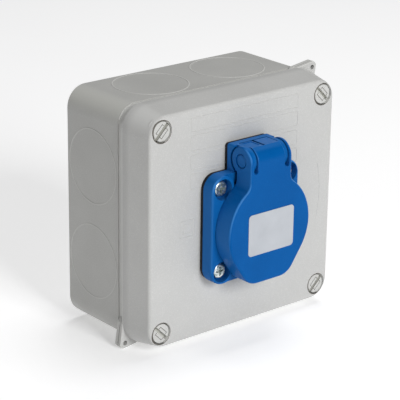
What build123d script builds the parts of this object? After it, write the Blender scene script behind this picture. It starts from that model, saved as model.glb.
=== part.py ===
from build123d import *
import os
from math import atan, degrees

# Waterproof socket box, in millimetres.
# Every piece is drawn face on: x to the right, y up, z out from the wall, with the origin
# at the middle of the wall face. On export the drawing is stood up, so that its z points
# to the front, -Y, and its y points up, +Z.

# Enclosure
base_side = 108.0
base_corner = 9.5
base_depth = 39.2  # wall to the plane where base and lid meet
lid_depth = 17.8
wall = 2.4
back_wall = 2.6

# Seam between base and lid, in a shallow neck that runs round both
neck_inset = 0.5
neck_on_base = 2.5
neck_on_lid = 1.2
tongue_wall = 1.0
tongue_height = 2.1
seal_height = 1.8
seam_gap = 0.15
groove_wall = 1.65

# Lid
rim_overhang = 1.0  # the rim beyond the base's side
rim_corner = 11.4
rim_band = 3.8  # straight part of the rim, before the bevel
bevel_run = 2.5
bevel_blend = 12.0  # radius that leads the straight part into the bevel
lid_plate = 2.4
face_round = 1.6
rim_round = 0.4

# Sealing ears at two opposite corners
ear_length = 13.0
ear_ramp = 2.5  # along the side, where the ear rises from the neck to the rim's level
ear_overhang = 1.5  # beyond the rim
ear_corner_cut = 1.6
ear_thickness = 2.1
ear_round = 1.2
ear_edge_cut = 0.3
ear_hole_inset = 1.2  # from the rim's two sides
ear_hole_radius = 1.1

# Knock-outs, two on each side of the base
knockout_radius = 17.2
knockout_spacing = 44.2
knockout_z = 18.6
knockout_groove = 0.8
knockout_web = 0.9  # thickness left under the groove inside
knockout_bead = 0.5
knockout_bead_height = 0.12

# Wall fixing holes in the base's back
fixing_inset = 17.0  # from the base's sides
fixing_radius = 2.95
fixing_boss_radius = 5.0
fixing_boss_height = 2.0

# Quarter-turn lid screws
screw_inset = 8.0  # from the base's sides
recess_radius = 4.85
recess_depth = 4.0
screw_head_radius = 4.4
screw_head_sink = 0.35
screw_slot_width = 1.6
screw_slot_depth = 1.9
screw_head_round = 0.25
frame_half_length = 2.5
frame_half_width = 2.2
frame_groove = 0.3
frame_depth = 0.25
screw_shank_radius = 2.5
screw_running_gap = 0.06
screw_ring_height = 0.9
ring_gap = 0.1
loose_gap = 0.2  # round pieces that sit loosely in or on another
tube_wall = 1.3
tube_foot_radius = 4.5
pillar_drop = 0.2  # pillar tops below the seam
pillar_gap = 0.3
pillar_reach = 5.8
pillar_round = 4.0
wing_reach = 3.9
wing_width = 2.2
wing_height = 2.6
turn_gap = 0.3
catch_thickness = 2.5
chamber_depth = 6.0

# Socket on the lid
socket_y = -2.2  # the socket's middle, a little under the lid's middle
gasket_height = 2.0
gasket_inset = 0.35
flange_corner = 7.0
flange_height = 6.3
flange_round = 1.2
flange_valley = 1.6
valley_start = 13.0
flange_screw_spacing = 38.0
flange_margin = 6.0  # outside the screws' middles
pocket_radius = 4.75
pocket_wall = 1.35
pocket_floor = 2.5
flange_screw_radius = 1.6
flange_hole_radius = 1.9
thread_gap = 0.02
flange_head_radius = 3.5
flange_head_height = 2.3
flange_head_round = 0.9
cross_half = 2.1
cross_width = 0.9
cross_depth = 1.3
flange_screw_length = 14.0
lid_boss_radius = 3.6
lid_boss_height = 8.6
skirt_step = 0.1  # skirt outside the collar
skirt_wall = 1.6
skirt_depth = 24.0
cutout_gap = 0.3

# Plug well
collar_reach = 1.9  # collar's side outside the line of the flange screws' middles
collar_wall = 1.3
well_depth = 17.4
well_floor = 3.0
collar_height = 12.8
pin_spacing = 19.0
pin_hole_radius = 2.6
guide_rib_width = 4.0
guide_rib_height = 1.5
guide_rib_stop = 2.5

# Hinge
hinge_rise = 6.1  # the hinge axis above the flange
axis_height = 9.0  # the hinge axis in front of the gasket
lug_radius = 5.9
block_half = 11.75
block_height = 4.2
block_round = 1.2
hinge_gap = 0.3
lug_width = 1.8
pin_radius = 2.9
pin_running_gap = 0.05
pin_recess = 0.2
pin_chamfer = 0.25
pin_eye_radius = 3.35
pin_eye_depth = 0.6
arm_radius = 6.5
arm_relief = 7.0
knuckle_radius = 6.2
knuckle_drop = 0.1  # knuckle's flat top below the block's
knuckle_back = 5.7  # its flat back behind the axis
slot_edge_round = 0.4
knuckle_end_wall = 1.35
spring_room_radius = 4.7

# Flap
flap_height = 15.9  # flap's front in front of the gasket
flap_depth = 9.3
flap_plate = 2.0
flap_wall = 1.6
flap_overhang = 2.3  # beyond the collar
lip_drop = 1.2  # lip's straight edge below the flap's round
lip_corner = 9.0
lip_half = 6.6
shoulder_round = 5.0
flap_round = 1.0
slot_drop = 4.7  # slots' lower end below the hinge axis
hollow_drop = 6.3  # top of the hollow below the hinge axis
nose_radius = 6.0
nose_drop = 0.2
flap_seal_width = 2.5
flap_seal_overhang = 0.2  # beyond the collar
flap_seal_height = 0.8
tab_depth = 0.25
tab_margin = 0.7
tab_length = 5.5

# Torsion spring on the hinge pin
wire_radius = 0.4
coil_radius = 3.7
coil_turns = 3
fixed_leg_x = -0.5
coil_end_gap = 1.4  # from the end of the spring's room
leg_groove = 1.3
slit_front = 2.1  # front end of the slit in front of the axis
leg_pocket = 0.8
leg_seat_gap = 0.1

# Label on the flap
label_width = 26.0
label_height = 19.0
label_thickness = 0.2
label_corner = 1.7
label_x = 0.4
label_drop = 1.2  # below the socket's middle

# Contacts
sleeve_outer = 3.3
sleeve_inner = 2.45
sleeve_slit = 0.8
sleeve_floor = 1.0
slit_foot = 2.0
sleeve_front_gap = 0.3
guide_outer = 5.2
guide_inner = 4.0
guide_length = 11.4
shoulder_side = 9.0
shoulder_height = 1.5
terminal_side = 8.0
terminal_length = 8.5
wire_hole_radius = 1.9
wire_hole_rise = 3.5
carrier_thickness = 2.5
sleeve_spring_radius = 3.8
sleeve_spring_length = 2.4
sleeve_spring_rise = 6.0
sleeve_spring_split = 1.2

# Terminal and carrier screws
terminal_screw_radius = 1.4
terminal_head_radius = 2.4
terminal_head_height = 1.6
terminal_screw_length = 4.0
driver_slot_width = 0.8
driver_slot_depth = 0.9
centre_boss_radius = 2.6
carrier_screw_radius = 1.3
carrier_screw_length = 9.0

# Earth bracket
strip_thickness = 0.8
strip_width = 5.0
clip_gap = 1.1  # strip's middle to the well's wall
clip_squeeze = 1.8
clip_flare = 1.4
clip_straight = 10.1
clip_run = 4.0
clip_tip_run = 3.3
clip_slot_gap = 0.3
bracket_bend = 1.0
eye_radius = 4.1
eye_gap = 0.1
earth_terminal_inset = 7.6  # its middle from the well's wall
earth_terminal_side = 6.4
earth_terminal_depth = 7.5
earth_access_radius = 3.0

# Drawing helps
overlap = 1.0  # how far cuts run past a face, and joined bodies into each other
beyond = 100.0  # longer than any piece reaches
touch = 0.01  # how near an edge lies to a plane that it is on

# Places worked out from the sizes above
seam_z = base_depth
box_depth = base_depth + lid_depth
rim_side = base_side + 2 * rim_overhang
face_side = rim_side - 2 * bevel_run
rim_low = seam_z + neck_on_lid
neck_side = base_side - 2 * neck_inset
neck_corner = base_corner - neck_inset
ear_start = rim_side / 2 - ear_length
ear_reach = rim_side / 2 + ear_overhang
ear_tip = ear_reach - ear_corner_cut
ear_hole_at = rim_side / 2 - ear_hole_inset
fixing_at = base_side / 2 - fixing_inset
cavity_side = base_side - 2 * wall
cavity_corner = base_corner - wall
tongue_side = cavity_side + 2 * tongue_wall
tongue_corner = cavity_corner + tongue_wall
tongue_top = seam_z + tongue_height
groove_top = tongue_top + seal_height
groove_side = tongue_side + 2 * seam_gap
groove_corner = tongue_corner + seam_gap
lip_side = cavity_side - 2 * seam_gap
lip_outer_corner = cavity_corner - seam_gap
lid_room_side = lip_side - 2 * groove_wall
lid_room_corner = lip_outer_corner - groove_wall
plate_z = box_depth - lid_plate
bevel_z = rim_low + rim_band
bevel_angle = degrees(atan((rim_side - face_side) / 2 / (box_depth - bevel_z)))
screw_at = base_side / 2 - screw_inset
recess_floor = box_depth - recess_depth
screw_head_low = recess_floor + screw_ring_height + ring_gap
screw_head_top = box_depth - screw_head_sink
pillar_top = seam_z - pillar_drop
tube_end = pillar_top + pillar_gap
chamber_top = pillar_top - catch_thickness
wing_top = chamber_top - turn_gap
gasket_top = box_depth + gasket_height
flange_side = flange_screw_spacing + 2 * flange_margin
flange_top = gasket_top + flange_height
collar_radius = flange_screw_spacing / 2 + collar_reach
skirt_radius = collar_radius + skirt_step
well_radius = collar_radius - collar_wall
flap_radius = collar_radius + flap_overhang
flap_seal_outer = collar_radius + flap_seal_overhang
flap_seal_inner = flap_seal_outer - flap_seal_width
axis_y = socket_y + flange_side / 2 + hinge_rise
axis_z = gasket_top + axis_height
block_top = axis_y + lug_radius
block_z = gasket_top + block_height
rim_z = gasket_top + collar_height
flap_front_z = gasket_top + flap_height
flap_back_z = flap_front_z - flap_depth
flap_bottom = socket_y - flap_radius - lip_drop
slot_low = axis_y - slot_drop
hollow_top = axis_y - hollow_drop
knuckle_top = block_top - knuckle_drop
knuckle_back_z = axis_z - knuckle_back
pocket_z = gasket_top + pocket_floor
well_floor_z = rim_z - well_depth
floor_back_z = well_floor_z - well_floor
skirt_end_z = gasket_top - skirt_depth
cutout_radius = skirt_radius + cutout_gap
skirt_room_radius = skirt_radius - skirt_wall
plate_back_z = flap_front_z - flap_plate
nose_y = axis_y - nose_drop
nose_z = flap_front_z - nose_radius
arm_inner = block_half - flap_wall
lug_outer = arm_inner - hinge_gap
lug_inner = lug_outer - lug_width
knuckle_half = lug_inner - hinge_gap
spring_room_half = knuckle_half - knuckle_end_wall
coil_end_x = spring_room_half - coil_end_gap
knuckle_reach = ((knuckle_top - axis_y) ** 2 + knuckle_back**2) ** 0.5
knuckle_relief = knuckle_reach + hinge_gap
leg_y = axis_y - coil_radius
clip_y = well_radius - clip_gap
earth_terminal_y = well_radius - earth_terminal_inset
guide_end_z = floor_back_z - guide_length
shoulder_low_z = guide_end_z - shoulder_height
terminal_end_z = shoulder_low_z - terminal_length
wire_hole_z = terminal_end_z + wire_hole_rise
sleeve_spring_z = guide_end_z + sleeve_spring_rise
clip_bend_z = floor_back_z + clip_straight
clip_peak_z = clip_bend_z + clip_run
clip_tip_z = clip_peak_z + clip_tip_run
carrier_low_z = shoulder_low_z - carrier_thickness
carrier_radius = skirt_room_radius - loose_gap

corner_turns = [Rot(0, 0, angle) for angle in (0, 90, 180, 270)]
corner_names = ["top_right", "top_left", "bottom_left", "bottom_right"]
ear_turns = [Rot(0, 0, angle) for angle in (0, 180)]
flange_corners = [
    (x, socket_y + y)
    for x in (-flange_screw_spacing / 2, flange_screw_spacing / 2)
    for y in (-flange_screw_spacing / 2, flange_screw_spacing / 2)
]


def slab(side, corner, low, high):
    """A square slab with rounded corners, from low to high."""
    return Pos(0, 0, low) * extrude(RectangleRounded(side, side, corner), high - low)


def disc(radius, low, high, x=0.0, y=0.0):
    """A round bar along z."""
    return Pos(x, y, low) * extrude(Circle(radius), high - low)


def bar(x_low, x_high, y_low, y_high, z_low, z_high):
    """A box given by its faces."""
    middle = Pos((x_low + x_high) / 2, (y_low + y_high) / 2, (z_low + z_high) / 2)
    return middle * Box(x_high - x_low, y_high - y_low, z_high - z_low)


def side_disc(radius, x_low, x_high):
    """A round bar along x, on the hinge axis."""
    start = Plane(origin=(x_low, axis_y, axis_z), x_dir=(0, 1, 0), z_dir=(1, 0, 0))
    return extrude(start * Circle(radius), x_high - x_low)


def side_slab(profile, x_low, x_high):
    """A side profile drawn as (y, z), extruded along x."""
    start = Plane(origin=(x_low, 0, 0), x_dir=(0, 1, 0), z_dir=(1, 0, 0))
    return extrude(start * profile, x_high - x_low)


def mirrored(piece):
    """The piece and its mirror image on the other side of the middle."""
    return piece + mirror(piece, Plane.YZ)


def ear(low, high):
    """One sealing ear at the top right corner, its outer edges cut at both faces."""
    outline = make_face(
        Polyline(
            (ear_start, ear_start),
            (ear_start, neck_side / 2),
            (ear_start + ear_ramp, rim_side / 2),
            (ear_tip, ear_reach),
            (ear_reach, ear_tip),
            (rim_side / 2, ear_start + ear_ramp),
            (neck_side / 2, ear_start),
            close=True,
        )
    )
    tips = outline.vertices().sort_by(lambda v: v.X + v.Y)[-2:]
    outline = fillet(tips, ear_round)
    plate = Pos(0, 0, low) * extrude(outline, high - low)
    inside = neck_side - ear_length + ear_ramp
    edges = plate.edges().filter_by(lambda e: e.center().X + e.center().Y > inside)
    flat = edges.filter_by(lambda e: abs(e.center().Z - (low + high) / 2) > touch)
    return chamfer(flat, ear_edge_cut)


def ear_hole(low, high):
    """The wire hole of the top right ear."""
    return disc(ear_hole_radius, low, high, ear_hole_at, ear_hole_at)


def screw_pillar():
    """The top right pillar that a lid screw locks into."""
    reach = (screw_at - pillar_reach, (cavity_side + wall) / 2)
    post = bar(*reach, *reach, 0, pillar_top)
    inner_edge = post.edges().filter_by(Axis.Z).sort_by(lambda e: e.center().X + e.center().Y)[0]
    post = fillet(inner_edge, pillar_round)
    post &= slab(cavity_side + wall, cavity_corner + wall / 2, back_wall / 2, pillar_top)
    return post


def screw_catch():
    """The hollow in a pillar: an entry slot for the wings and the chamber they turn in."""
    entry_reach = wing_reach + turn_gap
    room = disc(entry_reach, chamber_top - chamber_depth, chamber_top)
    entry_half = wing_width / 2 + turn_gap
    entry = bar(-entry_reach, entry_reach, -entry_half, entry_half, chamber_top, pillar_top)
    neck = disc(screw_shank_radius + turn_gap, chamber_top, pillar_top)
    return Pos(screw_at, screw_at, 0) * (room + Rot(0, 0, 45) * entry + neck)


def side_ring(outer, inner, y, x_low, x_high):
    """A ring about a knock-out's axis, from x_low to x_high."""
    start = Plane(origin=(x_low, y, knockout_z), x_dir=(0, 1, 0), z_dir=(1, 0, 0))
    return extrude(start * (Circle(outer) - Circle(inner)), x_high - x_low)


def knockout_beads():
    """The fine raised rings that mark the knock-outs on the right-hand side of the base."""
    places = (-knockout_spacing / 2, knockout_spacing / 2)
    outside = base_side / 2 + knockout_bead_height
    inner = knockout_radius - knockout_bead
    return [side_ring(knockout_radius, inner, y, base_side / 2 - wall / 2, outside) for y in places]


def knockout_grooves():
    """The grooves inside that leave each knock-out only a thin web to break."""
    places = (-knockout_spacing / 2, knockout_spacing / 2)
    inner = knockout_radius - knockout_groove
    low = cavity_side / 2 - overlap
    return [side_ring(knockout_radius, inner, y, low, base_side / 2 - knockout_web) for y in places]


def base_box():
    """The grey base, open to the front."""
    body = slab(base_side, base_corner, 0, seam_z - neck_on_base)
    back_edges = body.faces().sort_by(Axis.Z)[0].edges()
    body = fillet(back_edges, rim_round)
    body += slab(neck_side, neck_corner, back_wall, seam_z)
    for turn in ear_turns:
        body += turn * ear(seam_z - ear_thickness, seam_z)
    for turn in corner_turns:
        for bead in knockout_beads():
            body += turn * bead
    body += slab(tongue_side, tongue_corner, seam_z - overlap, tongue_top)
    body -= slab(cavity_side, cavity_corner, back_wall, tongue_top + overlap)
    for turn in corner_turns:
        for groove in knockout_grooves():
            body -= turn * groove
    for turn in corner_turns:
        body += turn * screw_pillar()
        body -= turn * screw_catch()
    for x in (-fixing_at, fixing_at):
        for y in (-fixing_at, fixing_at):
            body += disc(fixing_boss_radius, back_wall / 2, back_wall + fixing_boss_height, x, y)
            body -= disc(fixing_radius, -overlap, tongue_top, x, y)
    for turn in ear_turns:
        body -= turn * ear_hole(seam_z - ear_thickness - overlap, seam_z + overlap)
    return body


def lid():
    """The grey lid: a bevelled shell with screw tubes, a seal groove and the socket cut-out."""
    body = slab(rim_side, rim_corner, rim_low, bevel_z)
    rim = RectangleRounded(rim_side, rim_side, rim_corner)
    bevel = extrude(rim, box_depth - bevel_z, taper=bevel_angle)
    body += Pos(0, 0, bevel_z) * bevel
    body = fillet(body.edges().filter_by(lambda e: abs(e.center().Z - bevel_z) < touch), bevel_blend)
    body = fillet(body.faces().sort_by(Axis.Z)[-1].edges(), face_round)
    body = fillet(body.faces().sort_by(Axis.Z)[0].edges(), rim_round)
    body += slab(neck_side, neck_corner, seam_z, bevel_z)
    for turn in ear_turns:
        body += turn * ear(seam_z, seam_z + ear_thickness)
    body -= slab(lid_room_side, lid_room_corner, seam_z - overlap, plate_z)
    for turn in corner_turns:
        tube = disc(recess_radius + tube_wall, groove_top, plate_z, screw_at, screw_at)
        tube += disc(tube_foot_radius, tube_end, plate_z, screw_at, screw_at)
        body += turn * tube
    groove = slab(groove_side, groove_corner, seam_z - overlap, groove_top)
    groove -= slab(lip_side, lip_outer_corner, seam_z - 2 * overlap, groove_top + overlap)
    body -= groove
    bore = disc(screw_shank_radius + screw_running_gap, tube_end - overlap, box_depth, screw_at, screw_at)
    bore += disc(recess_radius, recess_floor, box_depth + overlap, screw_at, screw_at)
    for turn in corner_turns:
        body -= turn * bore
    for x, y in flange_corners:
        body += disc(lid_boss_radius, plate_z - lid_boss_height, plate_z, x, y)
        body -= disc(flange_screw_radius + thread_gap, 0, box_depth + overlap, x, y)
    body -= disc(cutout_radius, plate_z - overlap, box_depth + overlap, 0, socket_y)
    for turn in ear_turns:
        body -= turn * ear_hole(seam_z - overlap, seam_z + ear_thickness + overlap)
    return body


def lid_seal():
    """The strip in the lid's groove that the base's tongue presses on."""
    strip = slab(tongue_side, tongue_corner, tongue_top, groove_top)
    return strip - slab(cavity_side, cavity_corner, tongue_top - overlap, groove_top + overlap)


def lid_screw():
    """A quarter-turn screw at the top right corner, locked, with its slot across the diagonal."""
    across = Rot(0, 0, 135)
    slot_half = screw_slot_width / 2
    reach = screw_head_radius
    head = disc(reach, screw_head_low, screw_head_top)
    head = fillet(head.faces().sort_by(Axis.Z)[-1].edges(), screw_head_round)
    slot_floor = screw_head_top - screw_slot_depth
    head -= across * bar(-reach, reach, -slot_half, slot_half, slot_floor, box_depth)
    frame = Rectangle(2 * frame_half_length, 2 * frame_half_width)
    frame -= Rectangle(2 * (frame_half_length - frame_groove), 2 * (frame_half_width - frame_groove))
    head -= across * Pos(0, 0, screw_head_top - frame_depth) * extrude(frame, box_depth - screw_head_top)
    shank = disc(screw_shank_radius, wing_top - wing_height, screw_head_low)
    wing_half = wing_width / 2
    wings = bar(-wing_reach, wing_reach, -wing_half, wing_half, wing_top - wing_height, wing_top)
    wings &= disc(wing_reach, wing_top - wing_height, wing_top)
    return Pos(screw_at, screw_at, 0) * (head + shank + across * wings)


def lid_screw_rings():
    """The four flat sealing rings under the lid screws' heads."""
    ring = disc(screw_head_radius - loose_gap, recess_floor, recess_floor + screw_ring_height)
    ring -= disc(screw_shank_radius + loose_gap, recess_floor - overlap, box_depth)
    return [turn * Pos(screw_at, screw_at, 0) * ring for turn in corner_turns]


def socket_outline(inset):
    """The flange with the hinge block above it, drawn in by the inset."""
    side = flange_side - 2 * inset
    square = Pos(0, socket_y) * RectangleRounded(side, side, flange_corner - inset)
    half = block_half - inset
    top = block_top - inset
    block = Pos(0, (top + socket_y) / 2) * RectangleRounded(2 * half, top - socket_y, block_round)
    return square + block


def socket_gasket():
    """The black gasket between the flange and the lid."""
    body = Pos(0, 0, box_depth) * extrude(socket_outline(gasket_inset), gasket_height)
    body -= disc(cutout_radius, box_depth - overlap, gasket_top + overlap, 0, socket_y)
    for x, y in flange_corners:
        body -= disc(flange_hole_radius, box_depth - overlap, gasket_top + overlap, x, y)
    return body


def flange():
    """The socket's square flange, lowered between its screw pockets at top and bottom."""
    square = Pos(0, socket_y, gasket_top) * extrude(
        RectangleRounded(flange_side, flange_side, flange_corner), flange_height
    )
    square = fillet(square.faces().sort_by(Axis.Z)[-1].edges(), flange_round)
    body = square
    reach = flange_side / 2 + overlap
    valley_half = flange_screw_spacing / 2
    valley_floor = flange_top - flange_valley
    valley = bar(-valley_half, valley_half, valley_start, reach, valley_floor, flange_top + overlap)
    valley += mirror(valley, Plane.XZ)
    body -= Pos(0, socket_y, 0) * valley
    for x, y in flange_corners:
        body += square & disc(pocket_radius + pocket_wall, gasket_top, flange_top, x, y)
    for x, y in flange_corners:
        body -= disc(pocket_radius, pocket_z, flange_top + overlap, x, y)
        body -= disc(flange_hole_radius, gasket_top - overlap, flange_top, x, y)
    return body


def hinge_block():
    """The block above the flange with its two thin lugs, before the hollows for the flap."""
    top = block_top - socket_y
    block = Pos(0, socket_y + top / 2, gasket_top) * extrude(
        RectangleRounded(2 * block_half, top, block_round), block_z - gasket_top
    )
    block &= bar(-block_half, block_half, axis_y - arm_relief, block_top, gasket_top, block_z)
    web_low = axis_y - lug_radius
    profile = Pos(axis_y, axis_z) * Circle(lug_radius)
    web_z = (gasket_top + overlap + axis_z) / 2
    web = Rectangle(2 * lug_radius, axis_z - gasket_top - overlap)
    profile += Pos((web_low + block_top) / 2, web_z) * web
    return block, mirrored(side_slab(profile, lug_inner, lug_outer))


def socket_housing():
    """The blue moulding: flange, hinge block, collar with the plug well, and the rear skirt."""
    body = flange()
    block, lugs = hinge_block()
    body += block
    body -= side_disc(knuckle_relief, -lug_inner, lug_inner)
    body -= mirrored(side_disc(arm_relief, lug_outer, block_half + overlap))
    body += lugs
    body -= side_disc(pin_radius + thread_gap, -block_half, block_half)
    pocket = Plane(origin=(fixed_leg_x, leg_y, gasket_top + leg_pocket / 2), z_dir=(0, 0, 1))
    body -= extrude(pocket * Circle(wire_radius + loose_gap), arm_radius)
    tower = disc(collar_radius, gasket_top, rim_z, 0, socket_y)
    tower = fillet(tower.faces().sort_by(Axis.Z)[-1].edges(), rim_round)
    tower += disc(skirt_radius, skirt_end_z, gasket_top, 0, socket_y)
    body += tower
    inside = disc(well_radius, well_floor_z, rim_z + overlap)
    rib_half = guide_rib_width / 2
    rib_in = well_radius - guide_rib_height
    rib = bar(rib_in, collar_radius, -rib_half, rib_half, well_floor_z - overlap, rim_z - guide_rib_stop)
    inside -= mirrored(rib)
    inside += disc(skirt_room_radius, skirt_end_z - overlap, floor_back_z)
    body -= Pos(0, socket_y, 0) * inside
    inner = disc(centre_boss_radius, shoulder_low_z, floor_back_z + overlap)
    for x in (-pin_spacing / 2, pin_spacing / 2):
        inner += disc(guide_outer, guide_end_z, floor_back_z + overlap, x)
        inner -= disc(guide_inner, guide_end_z - overlap, floor_back_z, x)
        inner -= disc(pin_hole_radius, guide_end_z - overlap, well_floor_z + overlap, x)
    body += Pos(0, socket_y, 0) * inner
    holes = disc(carrier_screw_radius + thread_gap, shoulder_low_z - overlap, well_floor_z - overlap)
    for x in (-pin_spacing / 2, pin_spacing / 2):
        holes += disc(pin_hole_radius, floor_back_z - overlap, well_floor_z + overlap, x)
    slot_half = strip_width / 2 + clip_slot_gap
    slot_low_y = clip_y - bracket_bend - strip_thickness
    slot_high_y = clip_y + strip_thickness / 2 + clip_slot_gap
    slot = bar(-slot_half, slot_half, slot_low_y, slot_high_y, floor_back_z, well_floor_z + overlap)
    holes += slot + mirror(slot, Plane.XZ)
    return body - Pos(0, socket_y, 0) * holes


def flap_outline():
    """The flap face on: a round body with a straight lip below and a narrow neck above."""
    lip_y = flap_bottom + lip_corner
    round_part = Pos(0, socket_y) * Circle(flap_radius)
    lips = Pos(-lip_half, lip_y) * Circle(lip_corner) + Pos(lip_half, lip_y) * Circle(lip_corner)
    body = make_hull(round_part.edges() + lips.edges())
    neck = Pos(0, (nose_y + socket_y) / 2) * Rectangle(2 * block_half, nose_y - socket_y)
    outline = body + neck
    shoulders = outline.vertices().filter_by(lambda v: socket_y + block_half < v.Y < nose_y - touch)
    return fillet(shoulders, shoulder_round)


def arm_profile(radius):
    """The neck from the side: round about the pin, with a nose that meets the front plane."""
    round_part = Pos(axis_y, axis_z) * Circle(radius)
    nose = Pos(nose_y, nose_z) * Circle(nose_radius)
    return make_hull(round_part.edges() + nose.edges())


def knuckle():
    """The middle of the flap's hinge: flat on top, square at the back, hollow for the spring."""
    profile = Pos(axis_y, axis_z) * Circle(knuckle_radius)
    profile += Pos(nose_y, nose_z) * Circle(nose_radius)
    front_low = hollow_top
    front = (axis_z + flap_front_z) / 2
    profile += Pos((front_low + nose_y) / 2, front) * Rectangle(nose_y - front_low, flap_front_z - axis_z)
    back = (knuckle_back_z + nose_z) / 2
    top_depth = nose_z - knuckle_back_z
    profile += Pos((axis_y + knuckle_top) / 2, back) * Rectangle(knuckle_top - axis_y, top_depth)
    profile &= Pos(knuckle_top - beyond / 2, axis_z) * Rectangle(beyond, beyond)
    body = side_slab(profile, -knuckle_half, knuckle_half)
    front = body.faces().filter_by(Axis.Z).sort_by(Axis.Z)[-1].edges()
    return fillet(front.filter_by(Axis.Y), slot_edge_round)


def rounded_on_flap(edge):
    """Whether an edge is on the flap's front outline or on an arm's outer side above the pin."""
    place = edge.center()
    on_front = place.Z > flap_front_z - touch
    on_neck_top = on_front and place.Y > socket_y and abs(place.X) < touch
    on_side = abs(abs(place.X) - block_half) < touch
    on_nose = on_side and place.Y > axis_y and place.Z > axis_z + nose_drop
    return (on_front and not on_neck_top) or on_nose


def flap():
    """The blue flap: a shell with a neck, two arms and the knuckle on the hinge pin."""
    outline = flap_outline()
    body = Pos(0, 0, flap_back_z) * extrude(outline, flap_front_z - flap_back_z)
    body += mirrored(side_slab(arm_profile(arm_radius), arm_inner, block_half))
    body = fillet(body.edges().filter_by(rounded_on_flap), flap_round)
    inner = offset(outline, -flap_wall) & Pos(0, hollow_top - beyond / 2) * Rectangle(beyond, beyond)
    body -= Pos(0, 0, flap_back_z - overlap) * extrude(inner, plate_back_z - flap_back_z + overlap)
    slot_half = (arm_inner - knuckle_half) / 2
    slot_end = slot_low + slot_half
    body -= bar(-arm_inner, arm_inner, slot_end, beyond, 0, 2 * axis_z)
    body -= bar(-arm_inner, arm_inner, hollow_top - overlap, slot_end, 0, plate_back_z)
    body -= mirrored(disc(slot_half, 0, 2 * axis_z, arm_inner - slot_half, slot_end))
    body += knuckle()
    body -= side_disc(spring_room_radius, -spring_room_half, spring_room_half)
    body -= side_disc(pin_radius + pin_running_gap, -block_half - overlap, block_half + overlap)
    body -= mirrored(side_disc(pin_eye_radius, block_half - pin_eye_depth, block_half + overlap))
    groove_half = leg_groove / 2
    body -= bar(fixed_leg_x - groove_half, fixed_leg_x + groove_half, 0, beyond, 0, axis_z + slit_front)
    seat_y = leg_y - wire_radius - leg_seat_gap
    body -= bar(coil_end_x - groove_half, coil_end_x + groove_half, seat_y, axis_y, axis_z, plate_back_z)
    tab_z = knuckle_back_z + tab_margin
    tab_x = (-knuckle_half + tab_margin, fixed_leg_x - groove_half - tab_margin)
    body -= bar(*tab_x, knuckle_top - tab_depth, beyond, tab_z, tab_z + tab_length)
    return body


def flap_seal():
    """The ring inside the flap that closes on the collar's rim."""
    ring = disc(flap_seal_outer, plate_back_z - flap_seal_height, plate_back_z, 0, socket_y)
    return ring - disc(flap_seal_inner, 0, flap_front_z, 0, socket_y)


def hinge_pin():
    """The pin, held in the lugs; the flap turns on it."""
    half = block_half - pin_recess
    pin = side_disc(pin_radius, -half, half)
    return chamfer(pin.edges().filter_by(GeomType.CIRCLE), pin_chamfer)


def torsion_spring():
    """A coil round the pin, with one leg in the block's pocket and one on a ledge in the flap."""
    length = coil_end_x - fixed_leg_x
    seat = Plane(origin=(fixed_leg_x, axis_y, axis_z), x_dir=(0, -1, 0), z_dir=(1, 0, 0))
    coil = seat * Helix(length / coil_turns, length, coil_radius, lefthand=True)
    start = (fixed_leg_x, leg_y, gasket_top + leg_pocket)
    end = (coil_end_x, leg_y, plate_back_z - hinge_gap)
    path = Wire([Line(start, coil @ 0).edge(), *coil.edges(), Line(coil @ 1, end).edge()])
    section = Plane(origin=start, z_dir=(0, 0, 1)) * Circle(wire_radius)
    return sweep(section, path=path, transition=Transition.TRANSFORMED)


def rating_label():
    """The sticker on the flap's front."""
    outline = RectangleRounded(label_width, label_height, label_corner)
    return Pos(label_x, socket_y - label_drop, flap_front_z) * extrude(outline, label_thickness)


def flange_screws():
    """Four pan-head cross-recess screws in the flange's pockets."""
    head = disc(flange_head_radius, pocket_z, pocket_z + flange_head_height)
    head = fillet(head.faces().sort_by(Axis.Z)[-1].edges(), flange_head_round)
    top = pocket_z + flange_head_height
    half = cross_width / 2
    cross = bar(-cross_half, cross_half, -half, half, top - cross_depth, top + overlap)
    cross += Rot(0, 0, 90) * cross
    screw = head - cross + disc(flange_screw_radius, pocket_z - flange_screw_length, pocket_z)
    return [Pos(x, y, 0) * screw for x, y in flange_corners]


def contact_sleeve():
    """A slotted brass sleeve with its shoulder and terminal block."""
    front = floor_back_z - sleeve_front_gap
    body = disc(sleeve_outer, guide_end_z, front)
    body -= disc(sleeve_inner, guide_end_z + sleeve_floor, front + overlap)
    slit = sleeve_slit / 2
    body -= bar(-slit, slit, -sleeve_outer, sleeve_outer, guide_end_z + slit_foot, front + overlap)
    half = shoulder_side / 2
    body += bar(-half, half, -half, half, shoulder_low_z, guide_end_z)
    half = terminal_side / 2
    body += bar(-half, half, -half, half, terminal_end_z, shoulder_low_z)
    wire_way = Plane(origin=(0, -terminal_side, wire_hole_z), x_dir=(1, 0, 0), z_dir=(0, 1, 0))
    body -= extrude(wire_way * Circle(wire_hole_radius), 2 * terminal_side)
    body -= disc(terminal_screw_radius + thread_gap, terminal_end_z - overlap, wire_hole_z)
    return body


def sleeve_springs():
    """A split steel ring round each sleeve."""
    top = sleeve_spring_z + sleeve_spring_length
    ring = disc(sleeve_spring_radius, sleeve_spring_z, top) - disc(sleeve_outer, 0, rim_z)
    split = sleeve_spring_split / 2
    ring -= bar(0, guide_outer, -split, split, sleeve_spring_z - overlap, top + overlap)
    return [Pos(x, socket_y, 0) * ring for x in (-pin_spacing / 2, pin_spacing / 2)]


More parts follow.
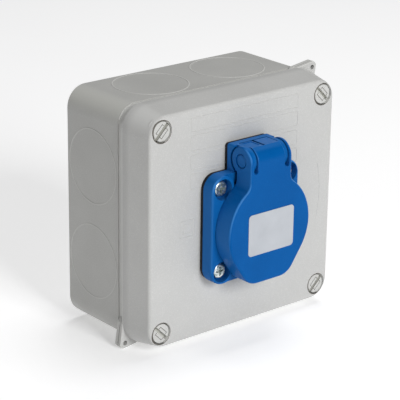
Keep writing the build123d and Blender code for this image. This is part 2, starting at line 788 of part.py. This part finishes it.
def earth_bracket():
    """One bent strip: both earth clips, the eye round the boss and the terminal."""
    back = floor_back_z - strip_thickness / 2
    peak_y = clip_y - clip_squeeze
    half_path = FilletPolyline(
        (0, back),
        (clip_y, back),
        (clip_y, clip_bend_z),
        (peak_y, clip_peak_z),
        (peak_y + clip_flare, clip_tip_z),
        radius=bracket_bend,
    )
    path = half_path + mirror(half_path, Plane.YZ)
    profile = offset(path, strip_thickness / 2, side=Side.BOTH)
    body = side_slab(make_face(profile.edges()), -strip_width / 2, strip_width / 2)
    body += disc(eye_radius, floor_back_z - strip_thickness, floor_back_z)
    half = earth_terminal_side / 2
    low = floor_back_z - earth_terminal_depth
    body += bar(-half, half, -earth_terminal_y - half, -earth_terminal_y + half, low, floor_back_z)
    wire_z = low + terminal_screw_length
    start_x = -half - overlap
    wire_way = Plane(origin=(start_x, -earth_terminal_y, wire_z), x_dir=(0, 1, 0), z_dir=(1, 0, 0))
    body -= extrude(wire_way * Circle(wire_hole_radius), 2 * half + 2 * overlap)
    body -= disc(terminal_screw_radius + thread_gap, low - overlap, wire_z, 0, -earth_terminal_y)
    body -= disc(centre_boss_radius + eye_gap, 0, rim_z)
    return Pos(0, socket_y, 0) * body


def contact_carrier():
    """The insulating plate that holds the contacts in from behind."""
    body = disc(carrier_radius, carrier_low_z, shoulder_low_z)
    half = terminal_side / 2 + loose_gap
    for x in (-pin_spacing / 2, pin_spacing / 2):
        body -= bar(x - half, x + half, -half, half, carrier_low_z - overlap, shoulder_low_z + overlap)
    body -= disc(carrier_screw_radius + loose_gap, carrier_low_z - overlap, shoulder_low_z + overlap)
    low = carrier_low_z - overlap
    body -= disc(earth_access_radius, low, shoulder_low_z + overlap, 0, -earth_terminal_y)
    return Pos(0, socket_y, 0) * body


def slotted_screw(radius, head_radius, head_height, length):
    """A cheese-head screw whose head faces the wall; its seat is at z = 0."""
    head = disc(head_radius, -head_height, 0)
    half = driver_slot_width / 2
    head -= bar(-head_radius, head_radius, -half, half, -head_height, driver_slot_depth - head_height)
    return head + disc(radius, 0, length)


def terminal_screws():
    """The three terminal screws: two behind the sleeves and one on the earth terminal."""
    screw = slotted_screw(
        terminal_screw_radius, terminal_head_radius, terminal_head_height, terminal_screw_length
    )
    low = floor_back_z - earth_terminal_depth
    places = [(-pin_spacing / 2, 0, terminal_end_z), (pin_spacing / 2, 0, terminal_end_z)]
    places.append((0, -earth_terminal_y, low))
    return [Pos(x, socket_y + y, z) * screw for x, y, z in places]


def carrier_screw():
    """The central screw of the carrier."""
    screw = slotted_screw(
        carrier_screw_radius, terminal_head_radius, terminal_head_height, carrier_screw_length
    )
    return Pos(0, socket_y, carrier_low_z) * screw


def save(name, piece):
    """Writes one node, stood up with its front towards -Y."""
    solids = piece if isinstance(piece, list) else [piece]
    upright = [Rot(90, 0, 0) * solid for solid in solids]
    shape = upright[0] if len(upright) == 1 else Compound(children=upright)
    export_step(shape, f"parts/{name}.step")


def main():
    os.makedirs("parts", exist_ok=True)
    save("base_box", base_box())
    save("lid", lid())
    save("lid_seal", lid_seal())
    screw = lid_screw()
    for turn, corner in zip(corner_turns, corner_names):
        save(f"lid_screw_{corner}", turn * screw)
    save("lid_screw_rings", lid_screw_rings())
    save("socket_gasket", socket_gasket())
    save("socket_housing", socket_housing())
    save("hinge_pin", hinge_pin())
    save("torsion_spring", torsion_spring())
    save("flap", flap())
    save("flap_seal", flap_seal())
    save("rating_label", rating_label())
    save("flange_screws", flange_screws())
    sleeve = contact_sleeve()
    save("contact_sleeve_line", Pos(-pin_spacing / 2, socket_y, 0) * sleeve)
    save("contact_sleeve_neutral", Pos(pin_spacing / 2, socket_y, 0) * sleeve)
    save("sleeve_springs", sleeve_springs())
    save("earth_bracket", earth_bracket())
    save("contact_carrier", contact_carrier())
    save("terminal_screws", terminal_screws())
    save("carrier_screw", carrier_screw())


main()
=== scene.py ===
import math
import bmesh
import bpy
from mathutils import Matrix, Vector


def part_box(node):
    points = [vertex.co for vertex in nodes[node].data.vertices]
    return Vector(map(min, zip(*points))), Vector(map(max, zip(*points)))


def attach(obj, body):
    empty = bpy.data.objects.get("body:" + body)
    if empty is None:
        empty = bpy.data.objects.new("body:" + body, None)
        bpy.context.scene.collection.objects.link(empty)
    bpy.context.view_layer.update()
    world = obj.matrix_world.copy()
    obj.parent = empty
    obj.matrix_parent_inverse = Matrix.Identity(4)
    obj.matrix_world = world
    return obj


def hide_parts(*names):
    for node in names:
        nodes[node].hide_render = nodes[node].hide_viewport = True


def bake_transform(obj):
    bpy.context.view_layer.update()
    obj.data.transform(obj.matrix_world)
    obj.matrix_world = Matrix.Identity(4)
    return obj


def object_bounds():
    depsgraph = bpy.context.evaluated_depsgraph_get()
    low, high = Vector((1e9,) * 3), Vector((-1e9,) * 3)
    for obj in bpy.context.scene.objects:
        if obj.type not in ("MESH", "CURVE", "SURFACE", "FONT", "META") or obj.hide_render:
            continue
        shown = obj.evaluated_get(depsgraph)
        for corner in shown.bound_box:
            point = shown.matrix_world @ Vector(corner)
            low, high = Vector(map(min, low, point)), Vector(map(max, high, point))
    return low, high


# Waterproof socket box: materials, small surface details, floor, light and camera.
# Sizes are in metres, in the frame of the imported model: x right, z up, -y to the front.

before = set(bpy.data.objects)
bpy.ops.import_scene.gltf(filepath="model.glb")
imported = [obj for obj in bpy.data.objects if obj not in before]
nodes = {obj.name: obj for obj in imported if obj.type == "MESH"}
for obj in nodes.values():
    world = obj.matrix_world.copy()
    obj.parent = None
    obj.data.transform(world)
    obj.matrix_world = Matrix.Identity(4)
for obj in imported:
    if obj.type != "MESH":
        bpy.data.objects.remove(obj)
cad_low, cad_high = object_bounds()

MM = 0.001

# Enclosure, as it is modelled
lid_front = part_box("lid")[0].y
base_half = 54 * MM
seam_y = -39.2 * MM
neck_on_base = 2.5 * MM
neck_on_lid = 1.2 * MM
ear_thickness = 2.1 * MM
ear_start = 42 * MM
screw_names = ["top_right", "top_left", "bottom_left", "bottom_right"]
screw_at = 46 * MM
recess_radius = 4.85 * MM
screw_top_y = -56.65 * MM
engraving = 0.25 * MM

# Places of painted light, and of the ears' dark joint, at the base's sides, as distances in or out from
# base_half
bead_foot = 0.01 * MM
bead_top = 1 * MM
neck_floor = 6 * MM
neck_edge = 0.4 * MM
step_edge = 0.02 * MM
ear_foot = 0.9 * MM
ear_tip = 4 * MM

# Places of painted light, and of the ears' dark joint, at the seam, as distances from it or from the ears'
# start
step_half = 0.05 * MM
joint_half = 0.2 * MM
ear_skin = 0.03 * MM
rise_before = 1 * MM
rise_after = 3.5 * MM

# Painted shade for the gap round a lid screw's head: wider on the left, and painted light, paler, on the
# wall that faces left
gap_shift = 0.15 * MM
gap_inside = 0.25 * MM
gap_outside = 0.35 * MM
gap_above = 1 * MM
gap_depth = 0.5 * MM
wall_top = 0.02 * MM
wall_bottom = 5 * MM
faces_left = (-1.1, -0.3)

# How squarely a surface faces a direction where its painted light starts and where it is full, as cosines:
# the edges' and corners' painted highlights and the blue faces' painted light
edge_highlight_cosines = (0.84, 0.97)
corner_highlight_cosines = (0.74, 0.99)
blue_side_light_cosines = (0.75, 1.0)
corner_highlight_aim = (1, 0, 1)


# Shader building blocks


def new_material(name):
    """A material with nodes, its tree and its Principled shader."""
    material = bpy.data.materials.new(name)
    material.use_nodes = True
    tree = material.node_tree
    return material, tree, tree.nodes["Principled BSDF"]


def add_node(tree, kind, **values):
    """A node of that kind, with its plain settings and its inputs' values."""
    node = tree.nodes.new(kind)
    for key, value in values.items():
        if key in node.inputs:
            node.inputs[key].default_value = value
        else:
            setattr(node, key, value)
    return node


def noise(tree, size, detail=3.0, stretch=(1, 1, 1), rough=0.5):
    """A noise field of that grain size, in metres, on the object's own coordinates."""
    place = add_node(tree, "ShaderNodeTexCoord")
    scaling = add_node(tree, "ShaderNodeMapping")
    scaling.inputs["Scale"].default_value = stretch
    field = add_node(tree, "ShaderNodeTexNoise", Scale=1 / size, Detail=detail, Roughness=rough)
    tree.links.new(place.outputs["Object"], scaling.inputs["Vector"])
    tree.links.new(scaling.outputs["Vector"], field.inputs["Vector"])
    return field.outputs["Fac"]


def remap(tree, value, low, high, start=0.35, end=0.65):
    """The value, stretched from start..end, a noise field's usual range, to low..high."""
    ramp = add_node(tree, "ShaderNodeMapRange")
    ramp.inputs["From Min"].default_value = start
    ramp.inputs["From Max"].default_value = end
    ramp.inputs["To Min"].default_value = low
    ramp.inputs["To Max"].default_value = high
    tree.links.new(value, ramp.inputs["Value"])
    return ramp.outputs["Result"]


def blend_colours(tree, factor, first, second):
    """A mix of two colours, each a fixed colour or another node's output."""
    mix = add_node(tree, "ShaderNodeMix", data_type="RGBA")
    tree.links.new(factor, mix.inputs["Factor"])
    for socket, colour in ((mix.inputs[6], first), (mix.inputs[7], second)):
        if isinstance(colour, tuple):
            socket.default_value = (*colour, 1)
        else:
            tree.links.new(colour, socket)
    return mix.outputs[2]


def add_bump(tree, height, depth):
    """A bump of that depth, in metres."""
    bump = add_node(tree, "ShaderNodeBump", Distance=depth, Strength=1.0)
    tree.links.new(height, bump.inputs["Height"])
    return bump.outputs["Normal"]


def calculate(tree, operation, first, second=None):
    """A calculation on one or two values, each a number or another node's output."""
    step = add_node(tree, "ShaderNodeMath", operation=operation)
    for socket, value in zip(step.inputs, (first, second)):
        if isinstance(value, (int, float)):
            socket.default_value = value
        elif value is not None:
            tree.links.new(value, socket)
    return step.outputs[0]


def within(tree, value, low, high):
    """1 where the value lies between low and high, 0 elsewhere."""
    inside = add_node(tree, "ShaderNodeMath", operation="COMPARE")
    tree.links.new(value, inside.inputs[0])
    inside.inputs[1].default_value = (low + high) / 2
    inside.inputs[2].default_value = (high - low) / 2
    return inside.outputs[0]


def overlap(tree, *masks):
    """1 where all the masks are 1, 0 elsewhere."""
    product = masks[0]
    for mask in masks[1:]:
        product = calculate(tree, "MULTIPLY", product, mask)
    return product


def object_place(tree, kind="Object"):
    """The x, y and z of the place on the piece, or of its normal."""
    place = add_node(tree, "ShaderNodeTexCoord")
    split = add_node(tree, "ShaderNodeSeparateXYZ")
    tree.links.new(place.outputs[kind], split.inputs[0])
    return split.outputs


def facing(tree, direction, cosines):
    """How far a surface faces that way, to either side: 0 at the first cosine, 1 at the second."""
    aim = Vector(direction).normalized()
    x, y, z = object_place(tree, "Normal")
    sideways = calculate(tree, "MULTIPLY", calculate(tree, "ABSOLUTE", x), aim.x)
    ahead = calculate(tree, "MULTIPLY", y, aim.y)
    upward = calculate(tree, "MULTIPLY", z, aim.z)
    cosine = calculate(tree, "ADD", calculate(tree, "ADD", sideways, ahead), upward)
    start, end = cosines
    return remap(tree, cosine, 0, 1, start, end)


def srgb(red, green, blue):
    """A colour given as 0 to 255, in linear light."""
    return tuple(
        (c / 255 / 12.92) if c <= 10 else ((c / 255 + 0.055) / 1.055) ** 2.4 for c in (red, green, blue)
    )


def finish_material(name, tint, shade, *, roughness, spread, mottle, grain, depth, metallic=0.0,
                    specular=0.5, stretch=(1, 1, 1), fleck=None, edge=None, accents=None):
    """A finish with drifting tone, a fine grain, uneven gloss and a bump of that grain.

    The tone drifts from tint to shade over patches of the mottle's size, and the roughness varies
    by the spread. The grain's size and the bump's depth are in metres.
    An edge is a direction and a colour: rounded edges that face that way are a little paler, a painted
    highlight.
    Accents are a function that adds the piece's pale or dark places to the colour: painted highlights,
    painted light and painted shade, and dark joints.
    """
    material, tree, shader = new_material(name)
    drift = noise(tree, mottle, detail=4.0)
    colour = blend_colours(tree, remap(tree, drift, 0, 1), tint, shade)
    fine = noise(tree, grain, detail=3.0, stretch=stretch)
    if fleck is not None:
        flecks = remap(tree, fine, 0, 0.35, start=0.5, end=0.75)
        colour = blend_colours(tree, flecks, colour, fleck)
    if edge is not None:
        # Painted highlight: rounded edges that face the direction are paler
        direction, pale = edge
        colour = blend_colours(tree, facing(tree, direction, edge_highlight_cosines), colour, pale)
    if accents is not None:
        colour = accents(tree, colour)
    tree.links.new(colour, shader.inputs["Base Color"])
    patch_size = mottle * 0.4
    patches = noise(tree, patch_size, detail=2.0, stretch=stretch)
    gloss = remap(tree, patches, roughness - spread, roughness + spread)
    tree.links.new(gloss, shader.inputs["Roughness"])
    tree.links.new(add_bump(tree, fine, depth), shader.inputs["Normal"])
    shader.inputs["Metallic"].default_value = metallic
    shader.inputs["Specular IOR Level"].default_value = specular
    return material


# Painted highlights, painted light and painted shade on the enclosure and the socket, and the ears' dark
# joint


def enclosure_reach(tree, operation="MAXIMUM"):
    """A place's distances from the enclosure's middle, sideways and up: the larger or the smaller."""
    x, _, z = object_place(tree)
    return calculate(tree, operation, calculate(tree, "ABSOLUTE", x), calculate(tree, "ABSOLUTE", z))


def base_accents(tree, colour):
    """The base's upper corners and its knock-out beads are a little paler with painted highlights, and the
    neck at the seam with painted light.
    """
    # Painted highlight on the upper corners
    corners = facing(tree, corner_highlight_aim, corner_highlight_cosines)
    colour = blend_colours(tree, corners, colour, srgb(204, 204, 199))
    x, depth, z = object_place(tree)
    on_base = within(tree, depth, seam_y + neck_on_base, 0)
    # Painted highlight on the knock-out beads, brighter on top than at the sides
    for reach, tone in ((calculate(tree, "ABSOLUTE", x), 201), (calculate(tree, "ABSOLUTE", z), 211)):
        bead_highlight = within(tree, reach, base_half + bead_foot, base_half + bead_top)
        bead_highlight = overlap(tree, bead_highlight, on_base)
        colour = blend_colours(tree, bead_highlight, colour, srgb(tone, tone, tone - 3))
    return neck_accents(tree, colour)


def neck_accents(tree, colour):
    """The neck at the seam, its step, the ears' rise and the ears' edges are a little paler with painted
    light that lifts their shade, and the ears' joint is dark.
    """
    reach = enclosure_reach(tree)
    depth = object_place(tree)[1]

    step_y = seam_y + neck_on_base
    in_seam = within(tree, depth, seam_y - neck_on_lid, step_y)
    # Painted light lifts the shade on the neck under the lid's rim
    neck = overlap(tree, within(tree, reach, base_half - neck_floor, base_half - neck_edge), in_seam)
    colour = blend_colours(tree, neck, colour, srgb(207, 207, 204))
    # Painted light lifts the shade on the step at the seam
    at_step = within(tree, depth, step_y - step_half, step_y + step_half)
    step = overlap(tree, within(tree, reach, base_half - neck_floor, base_half - step_edge), at_step)
    colour = blend_colours(tree, step, colour, srgb(199, 199, 196))

    from_seam = calculate(tree, "ABSOLUTE", calculate(tree, "SUBTRACT", depth, seam_y))
    in_ears = within(tree, from_seam, 0, ear_thickness - ear_skin)
    # Painted light lifts the shade where the ears rise from the neck
    rising = within(tree, reach, base_half - neck_edge, base_half + ear_foot)
    shorter_reach = enclosure_reach(tree, "MINIMUM")
    at_start = within(tree, shorter_reach, ear_start - rise_before, ear_start + rise_after)
    rise = overlap(tree, rising, at_start, in_ears)
    colour = blend_colours(tree, rise, colour, srgb(216, 216, 213))

    # Painted light makes the ears' edges paler; the joint between the ears' layers is dark
    on_ear = within(tree, reach, base_half + ear_foot, base_half + ear_tip)
    edge = overlap(tree, within(tree, from_seam, joint_half, ear_thickness - ear_skin), on_ear)
    colour = blend_colours(tree, edge, colour, srgb(207, 207, 204))
    joint = overlap(tree, within(tree, from_seam, -joint_half, joint_half), on_ear)
    return blend_colours(tree, joint, colour, srgb(122, 122, 118))


def screw_distance(tree):
    """A place's distance from the nearest lid screw's axis, with the axis shifted to the left."""
    place = add_node(tree, "ShaderNodeTexCoord")
    shift = add_node(tree, "ShaderNodeVectorMath", operation="ADD")
    tree.links.new(place.outputs["Object"], shift.inputs[0])
    shift.inputs[1].default_value = (gap_shift, 0, 0)
    corner = add_node(tree, "ShaderNodeVectorMath", operation="ABSOLUTE")
    tree.links.new(shift.outputs[0], corner.inputs[0])
    flat = add_node(tree, "ShaderNodeVectorMath", operation="MULTIPLY")
    tree.links.new(corner.outputs[0], flat.inputs[0])
    flat.inputs[1].default_value = (1, 0, 1)
    away = add_node(tree, "ShaderNodeVectorMath", operation="DISTANCE")
    tree.links.new(flat.outputs[0], away.inputs[0])
    away.inputs[1].default_value = (screw_at, 0, screw_at)
    return away.outputs["Value"]


def lid_accents(tree, colour):
    """A dark line of painted shade lies round the lid screws' holes, and painted light makes the holes'
    walls that face left paler. The upper corners have a painted highlight and the neck painted light.
    """
    # Painted highlight on the upper corners
    corners = facing(tree, corner_highlight_aim, corner_highlight_cosines)
    colour = blend_colours(tree, corners, colour, srgb(206, 206, 204))
    line = within(tree, screw_distance(tree), recess_radius - gap_inside, recess_radius + gap_outside)
    x, depth, _ = object_place(tree)
    leftward = within(tree, object_place(tree, "Normal")[0], *faces_left)
    leftward = overlap(tree, leftward, within(tree, x, -screw_at, base_half))
    near_front = within(tree, depth, lid_front - gap_above, lid_front + gap_depth)
    # Painted shade: a dark line for the gap round each screw's head
    ring = overlap(tree, line, near_front, calculate(tree, "SUBTRACT", 1, leftward))
    colour = blend_colours(tree, ring, colour, srgb(94, 90, 84))
    # Painted light: the hole's wall that faces left is paler
    in_recess = within(tree, depth, lid_front + wall_top, lid_front + wall_bottom)
    wall = overlap(tree, line, in_recess, leftward)
    return neck_accents(tree, blend_colours(tree, wall, colour, srgb(234, 234, 231)))


def screw_accents(tree, colour):
    """The engraved frame on a lid screw's head is dark with painted shade, and the slot's floor is pale
    with painted light.
    """
    depth = object_place(tree)[1]
    frame_top = screw_top_y + 0.6 * engraving
    frame_bottom = screw_top_y + 1.3 * engraving
    slot_bottom = screw_top_y + 3 * MM
    # Painted shade in the engraved frame and painted light on the slot's floor
    colour = blend_colours(tree, within(tree, depth, frame_top, frame_bottom), colour, srgb(128, 126, 120))
    return blend_colours(tree, within(tree, depth, frame_bottom, slot_bottom), colour, srgb(204, 204, 198))


def blue_painted_light(tree, colour):
    """Blue faces to the sides and to the top are a little paler: painted light."""
    # Painted light on blue faces to the sides and the top
    for direction in ((1, 0, 0), (0, 0, 1)):
        faces = facing(tree, direction, blue_side_light_cosines)
        colour = blend_colours(tree, faces, colour, srgb(34, 104, 175))
    return colour


# Finishes


def grey_plastic(name, tint, shade, accents):
    """The enclosure's moulded grey plastic: satin, with a very fine spark-eroded grain."""
    return finish_material(
        name, tint, shade, roughness=0.5, spread=0.05, mottle=0.03, grain=0.00045, depth=0.000012,
        # The edge is a painted highlight on rounded edges that face to the side, the back and up
        specular=0.3, fleck=srgb(222, 222, 220), edge=((0.75, 0.6, 0.3), srgb(238, 238, 236)),
        accents=accents,
    )


def blue_plastic(name, tint, shade, roughness):
    """The socket's moulded blue plastic."""
    return finish_material(
        name, tint, shade, roughness=roughness, spread=0.05, mottle=0.02, grain=0.0005, depth=0.000008,
        # The edge is a painted highlight on rounded edges that face to the side, the front and up
        specular=0.06, fleck=srgb(14, 102, 176), edge=((0.65, -0.6, 0.45), srgb(56, 122, 190)),
        accents=blue_painted_light,
    )


def black_rubber():
    """The gasket's soft black rubber."""
    return finish_material(
        "black_rubber", srgb(24, 24, 26), srgb(34, 34, 36), roughness=0.75, spread=0.08,
        mottle=0.006, grain=0.0003, depth=0.00002, specular=0.3,
    )


def grey_foam():
    """The sealing strip's and rings' grey sponge rubber."""
    return finish_material(
        "grey_foam", srgb(120, 122, 124), srgb(98, 100, 102), roughness=0.85, spread=0.06,
        mottle=0.004, grain=0.0004, depth=0.00006, specular=0.2,
    )


def bright_metal(name, tint, shade, roughness, mottle=0.004):
    """A bright metal with faint brushed streaks along its turning marks."""
    return finish_material(
        name, tint, shade, roughness=roughness, spread=0.08, mottle=mottle, grain=0.00035,
        depth=0.000012, metallic=1.0, stretch=(1, 1, 4),
    )


def silver_film():
    """The label's silver-white film."""
    return finish_material(
        "silver_film", srgb(182, 186, 192), srgb(174, 178, 184), roughness=0.38, spread=0.05,
        mottle=0.012, grain=0.00025, depth=0.000003,
    )


def cream_plastic():
    """The contact carrier's cream thermoset."""
    return finish_material(
        "cream_plastic", srgb(214, 206, 184), srgb(196, 187, 164), roughness=0.55, spread=0.06,
        mottle=0.01, grain=0.0004, depth=0.00002, specular=0.4, fleck=srgb(176, 168, 148),
    )


def dress_nodes():
    """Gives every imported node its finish, and returns the finishes by node name."""
    base_grey = grey_plastic("base_grey", srgb(190, 190, 187), srgb(184, 184, 181), base_accents)
    lid_grey = grey_plastic("lid_grey", srgb(192, 192, 190), srgb(187, 187, 185), lid_accents)
    screw_grey = grey_plastic("screw_grey", srgb(200, 200, 197), srgb(192, 192, 189), screw_accents)
    housing_blue = blue_plastic("housing_blue", srgb(14, 93, 162), srgb(9, 87, 154), 0.42)
    flap_blue = blue_plastic("flap_blue", srgb(0, 86, 157), srgb(0, 81, 150), 0.34)
    zinc = bright_metal("zinc_plate", srgb(240, 244, 240), srgb(140, 160, 158), 0.36, mottle=0.0012)
    steel = bright_metal("spring_steel", srgb(150, 152, 156), srgb(116, 118, 122), 0.3)
    brass = bright_metal("brass", srgb(214, 182, 104), srgb(190, 154, 80), 0.28)
    nickel = bright_metal("nickel_plate", srgb(196, 192, 182), srgb(168, 164, 154), 0.24)
    foam = grey_foam()
    finishes = {
        "base_box": base_grey,
        "lid": lid_grey,
        "lid_seal": foam,
        "lid_screw_rings": foam,
        "socket_gasket": black_rubber(),
        "socket_housing": housing_blue,
        "flap": flap_blue,
        "flap_seal": foam,
        "hinge_pin": flap_blue,
        "torsion_spring": steel,
        "rating_label": silver_film(),
        "flange_screws": zinc,
        "contact_sleeve_line": brass,
        "contact_sleeve_neutral": brass,
        "sleeve_springs": steel,
        "earth_bracket": nickel,
        "contact_carrier": cream_plastic(),
        "terminal_screws": zinc,
        "carrier_screw": zinc,
    }
    for corner in screw_names:
        finishes["lid_screw_" + corner] = screw_grey
    for name, material in finishes.items():
        mesh = nodes[name].data
        mesh.materials.clear()
        mesh.materials.append(material)
    return finishes


# Pieces on the lid and in the hinge


def rounded_path(left, low, right, high, corner, steps=5):
    """A closed rectangle with rounded corners, as (x, z) points."""
    points = []
    corners = (
        (right - corner, low + corner, -90),
        (right - corner, high - corner, 0),
        (left + corner, high - corner, 90),
        (left + corner, low + corner, 180),
    )
    for x, z, start in corners:
        for step in range(steps + 1):
            angle = math.radians(start + 90 * step / steps)
            points.append((x + corner * math.cos(angle), z + corner * math.sin(angle)))
    return points


def arc_path(x, z, radius, start, end, steps=24):
    """An open arc as (x, z) points, from start to end in degrees."""
    angles = [math.radians(start + (end - start) * step / steps) for step in range(steps + 1)]
    return [(x + radius * math.cos(angle), z + radius * math.sin(angle)) for angle in angles]


def add_ridge(builder, path, width, height, plane_y, closed=True):
    """A low ridge with a flat crown along a path on a plane that faces the front."""
    # Across and up, as shares of the width and the height: its feet lie a little below the plane
    profile = ((-0.5, -0.2), (-0.2, 1.0), (0.2, 1.0), (0.5, -0.2))
    count = len(path)
    rings = []
    for i in range(count):
        before = Vector(path[i - 1] if closed or i else path[0])
        after = Vector(path[(i + 1) % count] if closed or i < count - 1 else path[-1])
        along = (after - before).normalized()
        side = Vector((-along.y, along.x))
        here = Vector(path[i])
        ring = []
        for reach, rise in profile:
            spot = here + side * (reach * width)
            ring.append(builder.verts.new((spot.x, plane_y - rise * height, spot.y)))
        rings.append(ring)
    for i in range(count if closed else count - 1):
        first, second = rings[i], rings[(i + 1) % count]
        for k in range(len(profile)):
            following = (k + 1) % len(profile)
            builder.faces.new((first[k], second[k], second[following], first[following]))
    if not closed:
        builder.faces.new(rings[0])
        builder.faces.new(reversed(rings[-1]))


def lid_mouldings(material):
    """The faint raised frames for notes, the double square and the arc on the lid's face."""
    builder = bmesh.new()
    ridge_width = 0.5 * MM
    ridge_height = 0.12 * MM

    field_left = -30.5 * MM
    field_right = 31.0 * MM
    field_corner = 0.8 * MM
    field_rows = ((42.7, 48.9), (34.2, 40.9), (25.6, 32.3), (17.2, 23.8))
    for low, high in field_rows:
        path = rounded_path(field_left, low * MM, field_right, high * MM, field_corner)
        add_ridge(builder, path, ridge_width, ridge_height, lid_front)

    square_x = -32.2 * MM
    square_z = -0.45 * MM
    square_corner = 0.15 * MM
    for half in (3.8 * MM, 2.0 * MM):
        left, right = square_x - half, square_x + half
        path = rounded_path(left, square_z - half, right, square_z + half, square_corner, steps=2)
        add_ridge(builder, path, ridge_width, ridge_height, lid_front)

    arc = arc_path(x=-5.0 * MM, z=0.0, radius=51.0 * MM, start=-16.0, end=16.0)
    add_ridge(builder, arc, ridge_width, ridge_height, lid_front, closed=False)

    bmesh.ops.recalc_face_normals(builder, faces=builder.faces)
    mesh = bpy.data.meshes.new("lid_mouldings")
    builder.to_mesh(mesh)
    builder.free()
    mesh.materials.append(material)
    piece = bpy.data.objects.new("lid_mouldings", mesh)
    bpy.context.scene.collection.objects.link(piece)
    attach(piece, "enclosure")


def hinge_spring(material):
    """A copy of the torsion spring with its finish, in place of the imported one, which is hidden."""
    mesh = nodes["torsion_spring"].data.copy()
    mesh.name = "hinge_spring"
    mesh.materials.clear()
    mesh.materials.append(material)
    piece = bpy.data.objects.new("hinge_spring", mesh)
    bpy.context.scene.collection.objects.link(piece)
    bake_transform(piece)
    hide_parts("torsion_spring")


# Stage, light and camera


def pale_floor():
    """A wide pale floor under the part, with a faint glow of its own that softens the shadows."""
    floor_radius = 6.0
    tone_patch = 0.5
    glow = 0.36
    builder = bmesh.new()
    bmesh.ops.create_circle(builder, cap_ends=True, segments=96, radius=floor_radius)
    mesh = bpy.data.meshes.new("floor")
    builder.to_mesh(mesh)
    builder.free()
    floor = bpy.data.objects.new("floor", mesh)
    floor.location.z = cad_low.z
    bpy.context.scene.collection.objects.link(floor)
    material, tree, shader = new_material("floor_white")
    drift = remap(tree, noise(tree, tone_patch), 0, 1)
    tone = blend_colours(tree, drift, srgb(244, 244, 244), srgb(241, 241, 242))
    tree.links.new(tone, shader.inputs["Base Color"])
    shader.inputs["Roughness"].default_value = 0.9
    shader.inputs["Specular IOR Level"].default_value = 0.1
    shader.inputs["Emission Color"].default_value = (1, 1, 1, 1)
    shader.inputs["Emission Strength"].default_value = glow
    mesh.materials.append(material)


def area_light(name, place, size, power):
    """A soft square light at a place, aimed at the origin."""
    data = bpy.data.lights.new(name, "AREA")
    data.size = size
    data.energy = power
    light = bpy.data.objects.new(name, data)
    light.location = place
    light.rotation_euler = (-Vector(place)).to_track_quat("-Z", "Y").to_euler()
    bpy.context.scene.collection.objects.link(light)


def studio_light():
    """Even pale surroundings, a soft key light from the front and a wider light from above."""
    world = bpy.data.worlds.new("studio")
    world.use_nodes = True
    surround = world.node_tree.nodes["Background"]
    surround.inputs["Color"].default_value = (1, 1, 1, 1)
    surround.inputs["Strength"].default_value = 0.12
    bpy.context.scene.world = world
    area_light("key", place=(-0.1, -1.6, 0.7), size=0.6, power=19.0)
    area_light("top", place=(0.4, 0.1, 1.8), size=0.9, power=13.6)


def photo_camera():
    """The camera at the photograph's place and angle."""
    lens = 154.92
    sensor = 36.0
    place = Vector((-0.4729, -0.5912, 0.2634))
    yaw = math.radians(39.971)
    pitch = math.radians(19.887)
    roll = math.radians(0.743)
    ahead = Vector((math.sin(yaw) * math.cos(pitch), math.cos(yaw) * math.cos(pitch), -math.sin(pitch)))
    level = Vector((math.cos(yaw), -math.sin(yaw), 0))
    up = level.cross(ahead)
    right = level * math.cos(roll) + up * math.sin(roll)
    top = up * math.cos(roll) - level * math.sin(roll)
    data = bpy.data.cameras.new("photo_camera")
    data.lens = lens
    data.sensor_width = sensor
    data.sensor_fit = "HORIZONTAL"
    data.clip_start = 0.01
    camera = bpy.data.objects.new("photo_camera", data)
    turn = Matrix((right, top, -ahead)).transposed()
    camera.matrix_world = Matrix.Translation(place) @ turn.to_4x4()
    bpy.context.scene.collection.objects.link(camera)
    bpy.context.scene.camera = camera


photo_camera()
bpy.context.scene.view_settings.view_transform = "Standard"
finishes = dress_nodes()
lid_mouldings(finishes["lid"])
hinge_spring(finishes["torsion_spring"])
pale_floor()
studio_light()
